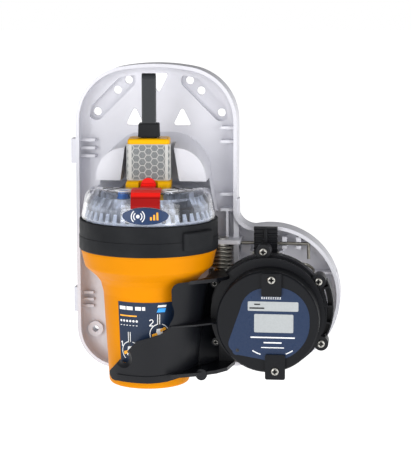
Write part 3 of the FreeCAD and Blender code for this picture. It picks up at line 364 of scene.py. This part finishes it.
# ---------------------------------------------------------------- surface pieces
def new_piece(name, bm, material, body):
    """An added piece that rides a body, in the given material."""
    mesh = bpy.data.meshes.new(name)
    bm.to_mesh(mesh)
    bm.free()
    piece = bpy.data.objects.new(name, mesh)
    bpy.context.scene.collection.objects.link(piece)
    mesh.materials.append(material)
    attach(piece, body)


def add_patch(bm, outline, place, lift, thick):
    """A thin plate with the given flat outline, carried onto a surface by place(u, v, lift)."""
    top = [bm.verts.new(place(u, v, lift + thick)) for u, v in outline]
    low = [bm.verts.new(place(u, v, lift)) for u, v in outline]
    bm.faces.new(top)
    bm.faces.new(list(reversed(low)))
    count = len(outline)
    for i in range(count):
        j = (i + 1) % count
        bm.faces.new((top[j], top[i], low[i], low[j]))


def add_stroke(bm, points, wide, place, lift, thick):
    """A line of constant width along points, as short joined plates."""
    for (u0, v0), (u1, v1) in zip(points, points[1:]):
        du = u1 - u0
        dv = v1 - v0
        size = math.hypot(du, dv)
        nu = -dv / size * wide / 2
        nv = du / size * wide / 2
        add_patch(bm, [(u0 - nu, v0 - nv), (u1 - nu, v1 - nv), (u1 + nu, v1 + nv),
                       (u0 + nu, v0 + nv)], place, lift, thick)


def arc(cu, cv, radius, start, end, steps=14):
    """Points along an arc about (cu, cv), from start to end in degrees."""
    return [(cu + radius * math.cos(math.radians(start + (end - start) * i / steps)),
             cv + radius * math.sin(math.radians(start + (end - start) * i / steps)))
            for i in range(steps + 1)]


def moved(outline, u, v):
    return [(a + u, b + v) for a, b in outline]


def disc(cu, cv, radius, steps=24):
    """The corners of a regular outline with that many sides."""
    return arc(cu, cv, radius, 0.0, 360.0 * (steps - 1) / steps, steps - 1)


# The grip of the case in mm: a slow taper from under the shoulder down to the foot.
GRIP_TOP, GRIP_TOP_RADIUS = -63.5, 38.7
GRIP_FOOT, GRIP_FOOT_RADIUS = -141.5, 34.2
LABEL_THICK = 0.3
LABEL_ROUND = 38.0       # radius at which the label's widths are measured
INK = 0.08               # mm of ink standing on a label
OVER_INK = 0.12          # ink that crosses the first layer
TOP_INK = 0.14           # ink that crosses the second
FLAT_LIFT = 0.17         # mm that a wide flat patch is raised, to clear the bulge of the case


def case_place(u, v, lift):
    """u mm round the grip from its front, v mm up: a point on the label of the tapered case."""
    part = (GRIP_TOP - v) / (GRIP_TOP - GRIP_FOOT)
    radius = GRIP_TOP_RADIUS - (GRIP_TOP_RADIUS - GRIP_FOOT_RADIUS) * part + LABEL_THICK + lift
    angle = u / LABEL_ROUND
    return BEACON @ (Vector((radius * math.sin(angle), -radius * math.cos(angle), v)) * MM)


def pictogram(white, orange, black, u, v):
    """A hand on a small beacon inside a ring, with its aerial standing out of the top."""
    aerial_u, aerial_top = u - 0.8, v + 16.5
    hoop = 8.2
    for side in (-0.9, 0.9):
        add_stroke(white, [(aerial_u + side, v + 8.0), (aerial_u + side, aerial_top)], 0.6,
                   case_place, 0.0, INK)
    add_stroke(black, [(aerial_u, v + 3.0), (aerial_u, aerial_top)], 1.1, case_place, 0.0, OVER_INK)
    for start, end in ((-60, 75), (100, 230)):
        add_stroke(white, arc(u, v, hoop, start, end), 0.7, case_place, 0.0, INK)
    beacon = [(-3.6, -3.5), (2.2, -5.0), (3.0, 4.4), (-2.4, 4.0)]
    add_patch(white, moved(beacon, u, v), case_place, FLAT_LIFT, INK)
    thumb = [(1.0, 1.0), (6.0, 3.4), (4.6, 5.6), (0.4, 3.4)]
    palm = [(-6.2, -3.4), (-1.6, -1.4), (-2.2, 0.8), (-6.6, -0.6)]
    for shape in (thumb, palm):
        add_patch(orange, moved(shape, u, v), case_place, FLAT_LIFT, OVER_INK)
    add_stroke(black, moved([(-2.6, -3.2), (1.6, -4.2)], u, v), 0.8, case_place, FLAT_LIFT, TOP_INK)


def label_graphics():
    """Generic print on the front label: blocks, a rule, a chip and two numbered steps."""
    white = bmesh.new()
    orange = bmesh.new()
    blue = bmesh.new()
    black = bmesh.new()
    left = -24.2
    block_v = -71.6
    for start, end in ((left, -18.4), (-17.6, -12.0), (-9.8, -4.8), (-4.0, -1.4)):
        add_stroke(white, [(start, block_v), ((start + end) / 2, block_v), (end, block_v)], 3.0,
                   case_place, 0.0, INK)
    rule = [(left + 1.2 * i, -78.2) for i in range(14)]
    add_stroke(orange, rule, 1.1, case_place, 0.0, INK)
    spots, spot_pitch = 6, 2.9
    for i in range(spots):
        add_patch(white, disc(-23.2 + spot_pitch * i, -82.6, 1.0, 12), case_place, 0.0, INK)
    for i in range(spots):
        dash = [(-24.0 + spot_pitch * i, -86.4), (-22.6 + spot_pitch * i, -86.4)]
        add_stroke(white, dash, 0.6, case_place, 0.0, INK)
    chip_top = [(8.6, -70.4), (15.8, -70.4), (16.4, -68.6), (9.4, -68.6)]
    chip_foot = [(8.0, -74.8), (15.0, -74.8), (16.0, -71.4), (9.4, -71.4)]
    add_patch(white, chip_top, case_place, FLAT_LIFT, INK)
    add_patch(blue, chip_foot, case_place, FLAT_LIFT, INK)
    pictogram(white, orange, black, 10.6, -93.0)
    pictogram(white, orange, black, -15.0, -108.6)
    one = [(left, -101.6), (-23.1, -100.6), (-23.1, -105.0)]
    add_stroke(white, one, 0.9, case_place, 0.0, INK)
    two = arc(3.6, -82.4, 1.5, 160, -30, 10) + [(2.0, -86.2), (5.2, -86.2)]
    add_stroke(white, two, 0.8, case_place, 0.0, INK)
    new_piece("label_print_white", white, PRINT_WHITE, "base")
    new_piece("label_print_orange", orange, PRINT_ORANGE, "base")
    new_piece("label_print_blue", blue, PRINT_BLUE, "base")
    new_piece("label_print_black", black, PRINT_BLACK, "base")


# The reflective tape round the mast in mm: a rounded rectangle, and its lowest and highest edge.
TAPE_HALF_X, TAPE_HALF_Y, TAPE_BEND = 18.8, 14.0, 4.6
TAPE_LOW, TAPE_HIGH = 31.5, 61.9
TAPE_FRONT = TAPE_HALF_X - TAPE_BEND            # half of the flat front
TAPE_SIDE = 2 * (TAPE_HALF_Y - TAPE_BEND)       # the whole flat side
TAPE_CORNER = math.pi * TAPE_BEND / 2           # the way round one corner
TAPE_AROUND = 4 * (TAPE_FRONT + TAPE_CORNER) + 2 * TAPE_SIDE


def film_place(u, v, lift):
    """u mm round the tape from its front centre, v mm up."""
    u = (u + TAPE_AROUND / 2) % TAPE_AROUND - TAPE_AROUND / 2
    way = math.copysign(1.0, u)
    side_start = TAPE_FRONT + TAPE_CORNER
    side_end = side_start + TAPE_SIDE
    back_start = side_end + TAPE_CORNER
    bend_y = TAPE_HALF_Y - TAPE_BEND
    d = abs(u)
    if d <= TAPE_FRONT:
        x, y = d, -TAPE_HALF_Y
        out = (0.0, -1.0)
    elif d <= side_start:
        a = (d - TAPE_FRONT) / TAPE_BEND
        out = (math.sin(a), -math.cos(a))
        x, y = TAPE_FRONT + TAPE_BEND * out[0], -bend_y + TAPE_BEND * out[1]
    elif d <= side_end:
        x, y = TAPE_HALF_X, -bend_y + (d - side_start)
        out = (1.0, 0.0)
    elif d <= back_start:
        a = (d - side_end) / TAPE_BEND
        out = (math.cos(a), math.sin(a))
        x, y = TAPE_FRONT + TAPE_BEND * out[0], bend_y + TAPE_BEND * out[1]
    else:
        x, y = TAPE_FRONT - (d - back_start), TAPE_HALF_Y
        out = (0.0, 1.0)
    point = Vector(((x + out[0] * lift) * way, y + out[1] * lift, v))
    return MAST @ (point * MM)


def clipped(outline, low, high):
    """The outline cut to low <= v <= high."""
    for limit, sign in ((low, 1.0), (high, -1.0)):
        kept = []
        for (u0, v0), (u1, v1) in zip(outline, outline[1:] + outline[:1]):
            in0 = sign * (v0 - limit) >= 0
            in1 = sign * (v1 - limit) >= 0
            if in0:
                kept.append((u0, v0))
            if in0 != in1:
                t = (limit - v0) / (v1 - v0)
                kept.append((u0 + (u1 - u0) * t, limit))
        outline = kept
        if len(outline) < 3:
            return []
    return outline


def film_cells():
    """The honeycomb of grey cells on the mast's reflective band."""
    bm = bmesh.new()
    columns = 24
    cell_share = 0.89        # the rest of each hexagon is the pale line round it
    edge = 0.6
    pitch = TAPE_AROUND / columns
    radius = pitch / 1.5
    rise = radius * math.sqrt(3)
    low = TAPE_LOW + edge
    high = TAPE_HIGH - edge
    rows = math.ceil((high - low) / rise) + 1
    for i in range(columns):
        u = (i - columns / 2) * pitch
        shift = rise / 2 if i % 2 else 0.0
        for j in range(rows):
            v = low + j * rise + shift
            cell = clipped(disc(u, v, radius * cell_share, 6), low, high)
            if cell:
                add_patch(bm, cell, film_place, 0.0, 0.12)
    new_piece("film_honeycomb", bm, FILM, "base")


# The face of the badge in mm: upright at the foot of the dome, then leaning in with the dome.
BADGE_RADIUS = 57.6
LEAN_START, LEAN_HIGH, LEAN_IN = 3.5, 23.0, 4.1
BADGE_ROUND = 56.0       # radius at which the badge's widths are measured
BADGE_INK = 0.1


def badge_place(u, v, lift):
    """u mm round the dome from its front, v mm up, on the face of the badge."""
    lean = LEAN_IN * max(0.0, v - LEAN_START) / LEAN_HIGH
    radius = BADGE_RADIUS - lean + lift
    angle = u / BADGE_ROUND
    return BEACON @ (Vector((radius * math.sin(angle), -radius * math.cos(angle), v)) * MM)


def badge_graphics():
    """A plain radiating signal sign and three strength bars on the oval badge."""
    white = bmesh.new()
    orange = bmesh.new()
    sign_u, sign_v = -6.0, 8.6
    add_patch(white, disc(sign_u, sign_v, 1.5), badge_place, 0.0, BADGE_INK)
    for radius in (3.4, 5.4):
        for start, end in ((-52, 52), (128, 232)):
            wave = arc(sign_u, sign_v, radius, start, end, 10)
            add_stroke(white, wave, 0.8, badge_place, 0.0, BADGE_INK)
    foot_v = 5.6
    for i, tall in enumerate((2.6, 4.4, 6.2)):
        u = 4.6 + 2.6 * i
        add_stroke(orange, [(u, foot_v), (u, foot_v + tall)], 1.5, badge_place, 0.0, BADGE_INK)
    new_piece("badge_print_white", white, PRINT_WHITE, "base")
    new_piece("badge_print_orange", orange, PRINT_ORANGE, "base")


MODULE_CENTRE = centre_of("module_case")
MODULE_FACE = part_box("module_label")[0][1]
MODULE_INK = 0.06


def module_place(u, v, lift):
    """u, v mm from the release module's centre, on its printed front."""
    return Vector((MODULE_CENTRE.x + u * MM, MODULE_FACE - lift * MM, MODULE_CENTRE.z + v * MM))


def module_graphics():
    """Generic print on the release module: a row of crosses, rules, two arcs and a dot."""
    white = bmesh.new()
    dark = bmesh.new()
    row_foot, row_top, row_wide = 19.6, 21.4, 0.9
    for i in range(9):
        u = -5.0 + i * 1.9
        add_stroke(white, [(u, row_foot), (u + row_wide, row_top)], 0.5, module_place, 0.0, MODULE_INK)
        add_stroke(white, [(u + row_wide, row_foot), (u, row_top)], 0.4, module_place, 0.0, MODULE_INK)
    for v, start, end, wide in ((-13.0, -14.0, 23.0, 1.1), (-17.4, -3.0, 12.0, 1.1),
                                (-21.6, -5.0, 14.0, 0.8)):
        add_stroke(white, [(start, v), (end, v)], wide, module_place, 0.0, MODULE_INK)
    for start, end in ((238, 252), (292, 304)):
        add_stroke(white, arc(4.0, 2.0, 31.0, start, end, 8), 0.9, module_place, 0.0, MODULE_INK)
    add_patch(dark, disc(-25.0, -24.5, 1.5), module_place, 0.0, 0.2)
    window_lift = 0.05       # the write-on panel stands this far out of the label
    for v, start, end, wide in ((15.0, -11.0, -6.0, 1.2), (11.8, -15.0, -2.5, 1.3)):
        add_stroke(dark, [(start, v), (end, v)], wide, module_place, window_lift, MODULE_INK)
    new_piece("module_print_white", white, PRINT_WHITE, "arm")
    new_piece("module_print_dark", dark, PRINT_BLACK, "arm")


def islands(node):
    """The separate solids of a CAD node, each as its lowest and highest corner."""
    bm = bmesh.new()
    bm.from_mesh(node.data)
    left = set(bm.verts)
    boxes = []
    for start in bm.verts:
        if start not in left:
            continue
        left.remove(start)
        points = [start.co.copy()]
        queue = [start]
        while queue:
            for edge in queue.pop().link_edges:
                for vert in edge.verts:
                    if vert in left:
                        left.remove(vert)
                        queue.append(vert)
                        points.append(vert.co.copy())
        places = [node.matrix_world @ point for point in points]
        low = Vector([min(place[i] for place in places) for i in range(3)])
        high = Vector([max(place[i] for place in places) for i in range(3)])
        boxes.append((low, high))
    bm.free()
    return boxes


def front_of(low, high):
    """Places u, v mm from the centre of a box's front, lift mm out of it."""
    centre = (low + high) / 2

    def place(u, v, lift):
        return Vector((centre.x + u * MM, low.y - lift * MM, centre.z + v * MM))

    return place


def painted_screw_shade():
    """Painted shade: a thin dark cross on the head of every screw that faces forwards, for the shade
    in its cross recess.
    """
    first_turn, next_turn = 20.0, 25.0       # degrees, so that no two stand alike
    line_wide, line_thick = 0.42, 0.06
    for name in ("ring_screws", "box_screws", "clip_screws"):
        bm = bmesh.new()
        for number, (low, high) in enumerate(islands(NODES[name])):
            head = front_of(low, high)
            turn = math.radians(first_turn + next_turn * number)
            c, s = math.cos(turn), math.sin(turn)
            for u, v in ((c, s), (-s, c)):
                add_stroke(bm, [(-u, -v), (u, v)], line_wide, head, 0.0, line_thick)
        # Painted shade: the dark crosses stand in for the shaded cross recesses.
        new_piece(name + "_painted_cross_shade", bm, PRINT_BLACK, "arm")


DOME_TOP = 26.5          # mm, the flat top of the clear dome
DOME_GAP = 0.02          # the details stand this far off it


def dome_place(u, v, lift):
    """u, v mm in the beacon's own axes, on top of the dome."""
    return BEACON @ (Vector((u, v, DOME_TOP + lift)) * MM)


def dome_details():
    """Key rings, slots and thin lines on the dome's top."""
    white = bmesh.new()
    black = bmesh.new()
    key_u, key_v = 19.0, -31.0
    for way in (-1.0, 1.0):
        ring = arc(way * key_u, key_v, 6.3, 0, 360, 32)
        add_stroke(white, ring, 1.7, dome_place, DOME_GAP, 0.8)
        line = [(way * 20.5, -6.0), (way * 26.0, -18.0), (way * 33.0, -28.0)]
        add_stroke(black, line, 0.8, dome_place, DOME_GAP, 0.3)
    add_patch(black, disc(key_u, key_v, 2.4), dome_place, DOME_GAP + 0.3, 0.3)
    slot_u, slot_v, slot_turn = 33.32, -14.0, math.radians(24.0)
    for way in (-1.0, 1.0):
        along = Vector((math.cos(slot_turn), -way * math.sin(slot_turn)))
        across = Vector((-along.y, along.x))
        corners = [along * a + across * b
                   for a, b in ((-4.4, -1.1), (4.4, -1.1), (4.4, 1.1), (-4.4, 1.1))]
        slot = moved([tuple(corner) for corner in corners], way * slot_u, slot_v)
        add_patch(black, slot, dome_place, DOME_GAP, 0.4)
    new_piece("dome_key_rings", white, PRINT_WHITE, "base")
    new_piece("dome_slots", black, PRINT_BLACK, "base")


def lamp_lining():
    """Pleated silver lining inside the clear dome, open in front of the satellite receiver."""
    bm = bmesh.new()
    profile = [(51.2, -8.0), (50.2, 11.4), (46.8, 16.0), (44.5, 20.0), (43.2, 17.4), (30.5, 17.4)]
    pleats, pleat_depth = 60, 2.0
    window_start, window_end, window_bands = 28.0, 54.0, 3
    rings = []
    for radius, z in profile:
        ring = []
        for i in range(pleats):
            angle = 2 * math.pi * i / pleats
            r = radius - (pleat_depth if i % 2 else 0.0)
            point = Vector((r * math.sin(angle), -r * math.cos(angle), z))
            ring.append(bm.verts.new(BEACON @ (point * MM)))
        rings.append(ring)
    for band, (lower, painted_glint_colour) in enumerate(zip(rings, rings[1:])):
        for i in range(pleats):
            in_window = window_start < 360.0 * (i + 0.5) / pleats < window_end
            if in_window and band < window_bands:
                continue
            j = (i + 1) % pleats
            bm.faces.new((lower[i], lower[j], painted_glint_colour[j], painted_glint_colour[i]))
    new_piece("lamp_lining", bm, SILVER, "base")


# ---------------------------------------------------------------- studio
CENTRE = (Vector(CAD_BOX[0]) + Vector(CAD_BOX[1])) / 2
FLOOR_DROP = 0.40        # the housing hangs on a wall, well above the floor
FRONT_GLOW = 0.85        # strength of the bright room in front of the object
BACK_GLOW = 0.15         # strength of the dim room above and behind it
ROOM_FADE = (-1.0, 0.2)  # part of a direction that points back, from all bright to all dim
SKYLINE = (0.10, 0.25)   # part of a direction that points up, where the white round the floor ends


def studio_floor():
    """Wide sheet of pale paper under the object."""
    bm = bmesh.new()
    bmesh.ops.create_grid(bm, x_segments=8, y_segments=8, size=20.0)
    mesh = bpy.data.meshes.new("studio_floor")
    bm.to_mesh(mesh)
    bm.free()
    floor = bpy.data.objects.new("studio_floor", mesh)
    floor.location = (CENTRE.x, CENTRE.y, CAD_BOX[0][2] - FLOOR_DROP)
    bpy.context.scene.collection.objects.link(floor)
    paper = Nodes("floor_paper")
    fibre = paper.span(paper.noise(3.0), 0.0, 1.0)
    paper.colour(paper.tint(fibre, (0.93, 0.93, 0.93), (0.96, 0.96, 0.96)))
    paper.set(Roughness=0.9, Emission_Color=(1.0, 1.0, 1.0, 1.0), Emission_Strength=0.85)
    mesh.materials.append(paper.material)


def studio_world():
    """A white room: bright in front, dim above and behind, and white again down to the floor."""
    world = bpy.data.worlds.new("studio_world")
    world.use_nodes = True
    tree = world.node_tree
    background = tree.nodes["Background"]
    background.inputs["Color"].default_value = (1.0, 1.0, 1.0, 1.0)
    direction = tree.nodes.new("ShaderNodeTexCoord").outputs["Generated"]
    split = tree.nodes.new("ShaderNodeSeparateXYZ")
    tree.links.new(direction, split.inputs["Vector"])
    room = map_range(tree, split.outputs["Y"], *ROOM_FADE, FRONT_GLOW, BACK_GLOW)
    skyline = map_range(tree, split.outputs["Z"], *SKYLINE, 1.0, 0.0)
    brighter = tree.nodes.new("ShaderNodeMath")
    brighter.operation = "MAXIMUM"
    tree.links.new(room, brighter.inputs[0])
    tree.links.new(skyline, brighter.inputs[1])
    tree.links.new(brighter.outputs["Value"], background.inputs["Strength"])
    bpy.context.scene.world = world


def area_light(name, place, size, power):
    """A round soft light that looks at the object's centre."""
    light = bpy.data.lights.new(name, "AREA")
    light.shape = "DISK"
    light.size = size
    light.energy = power
    lamp = bpy.data.objects.new(name, light)
    lamp.location = place
    lamp.rotation_euler = (CENTRE - Vector(place)).to_track_quat("-Z", "Y").to_euler()
    bpy.context.scene.collection.objects.link(lamp)


def studio_camera():
    """A long lens a little to the right of the beacon's front and a little above it."""
    azimuth = math.radians(6.5)
    elevation = math.radians(8.6)
    distance = 1.45
    target = Vector((0.0484, AXIS.y, -0.0064))
    back = Vector((math.sin(azimuth) * math.cos(elevation),
                   -math.cos(azimuth) * math.cos(elevation), math.sin(elevation)))
    data = bpy.data.cameras.new("photo_camera")
    data.lens = 137.0
    data.sensor_width = 36.0
    data.clip_end = 20.0
    view = bpy.data.objects.new("photo_camera", data)
    view.location = target + back * distance
    view.rotation_euler = (-back).to_track_quat("-Z", "Y").to_euler()
    bpy.context.scene.collection.objects.link(view)
    bpy.context.scene.camera = view


finish_nodes()
soften_edges()
label_graphics()
film_cells()
badge_graphics()
module_graphics()
painted_screw_shade()
dome_details()
lamp_lining()
studio_floor()
studio_world()
area_light("key_light", (-1.0, -2.0, 0.25), 1.1, 15.0)
area_light("fill_light", (1.5, -1.5, 0.2), 1.3, 14.0)
studio_camera()
bpy.context.scene.view_settings.view_transform = "Standard"
